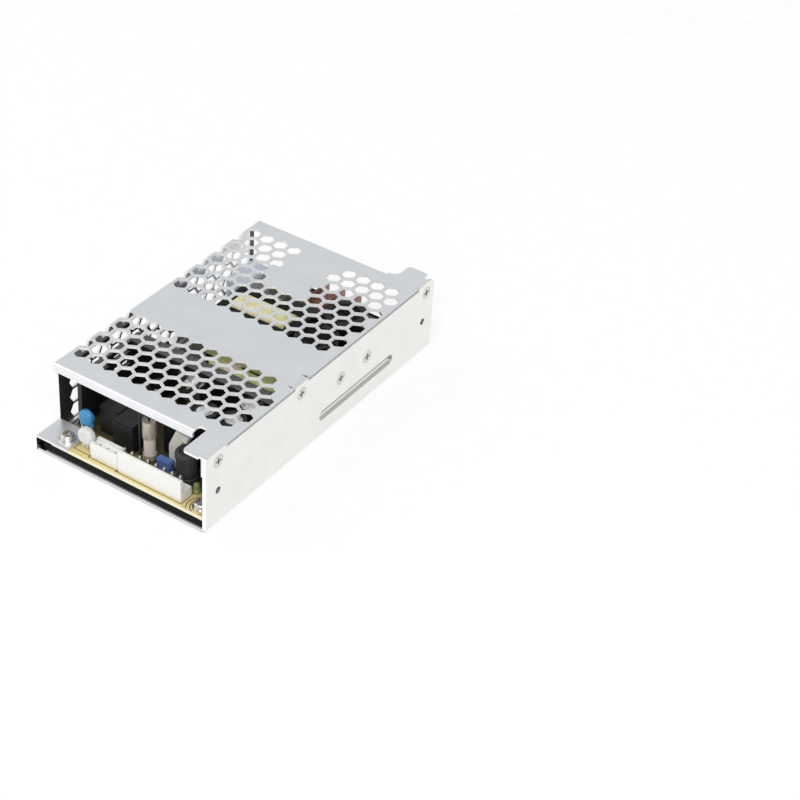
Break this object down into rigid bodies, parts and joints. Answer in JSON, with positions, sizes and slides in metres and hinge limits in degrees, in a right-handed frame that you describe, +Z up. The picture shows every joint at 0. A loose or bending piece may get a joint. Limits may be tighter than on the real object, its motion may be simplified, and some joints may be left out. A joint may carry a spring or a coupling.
{
  "type": "enclosed power supply",
  "caption": "Flat enclosed switching power supply: folded metal chassis, hexagon-perforated cover, open front with pin headers on a populated board.",
  "frame": {"origin": "centre of the case's bottom face", "axes": "+Y along the length from the terminals to the rear, +X towards the solid side wall, +Z up"},
  "size_m": [0.086, 0.158, 0.036],
  "materials": {
    "chassis_sheet": "plain rolled aluminium, satin",
    "cover_sheet": "plain rolled sheet, satin grey",
    "black_film": "black insulating film",
    "plated_steel": "zinc plated",
    "board_laminate": "tan phenolic laminate",
    "white_nylon": "moulded nylon",
    "tinned_pins": "bright tin plate",
    "fuse_ceramic": "unglazed tube",
    "white_coating": "dipped silicone",
    "blue_coating": "dipped epoxy",
    "moulded_black": "moulded, fine texture",
    "blue_box": "potted box",
    "black_sleeve": "shrunk sleeve",
    "white_glue": "cured silicone",
    "can_metal": "drawn can",
    "black_anodised": "black anodised",
    "clip_steel": "spring steel",
    "ferrite": "ground ferrite",
    "yellow_tape": "polyester tape",
    "pad_ceramic": "pressed ceramic",
    "grey_box": "dipped film capacitor",
    "copper_wire": "enamelled copper",
    "red_winding": "varnished winding"
  },
  "bodies": {
    "root": {"chassis": "chassis_sheet", "cover": "cover_sheet", "insulation_tray": "black_film", "standoffs": "plated_steel", "board_screws": "plated_steel", "cover_screws": "plated_steel", "circuit_board": "board_laminate", "input_connector": "white_nylon", "input_pins": "tinned_pins", "output_connector": "white_nylon", "output_pins": "tinned_pins", "fuse_tube": "fuse_ceramic", "fuse_caps": "tinned_pins", "fuse_leads": "tinned_pins", "thermistor": "white_coating", "thermistor_legs": "tinned_pins", "y_capacitor_1": "blue_coating", "y_capacitor_2": "blue_coating", "disc_leads": "tinned_pins", "relay_1": "moulded_black", "relay_2": "moulded_black", "power_relay": "moulded_black", "blue_capacitor": "blue_box", "drum_choke": "black_sleeve", "adhesive_bead": "white_glue", "output_can_1": "can_metal", "output_can_2": "can_metal", "output_can_3": "can_metal", "output_can_4": "can_metal", "output_sleeve_1": "black_sleeve", "output_sleeve_2": "black_sleeve", "output_sleeve_3": "black_sleeve", "output_sleeve_4": "black_sleeve", "small_can": "can_metal", "small_sleeve": "black_sleeve", "front_heatsink": "black_anodised", "rectifier": "moulded_black", "rectifier_leads": "tinned_pins", "rectifier_clip": "clip_steel", "clip_screw": "plated_steel", "transformer_core": "ferrite", "transformer_bobbin": "moulded_black", "transformer_winding": "yellow_tape", "boost_core": "ferrite", "boost_winding": "yellow_tape", "bulk_can_1": "can_metal", "bulk_can_2": "can_metal", "bulk_sleeve_1": "black_sleeve", "bulk_sleeve_2": "black_sleeve", "switch_device_1": "moulded_black", "switch_device_2": "moulded_black", "switch_leads": "tinned_pins", "insulating_pads": "pad_ceramic", "device_screws": "plated_steel", "device_nuts": "plated_steel", "film_capacitor": "grey_box", "toroid_core": "ferrite", "toroid_winding": "copper_wire", "bridge_rectifier": "moulded_black", "line_choke": "red_winding"}
  },
  "joints": []
}
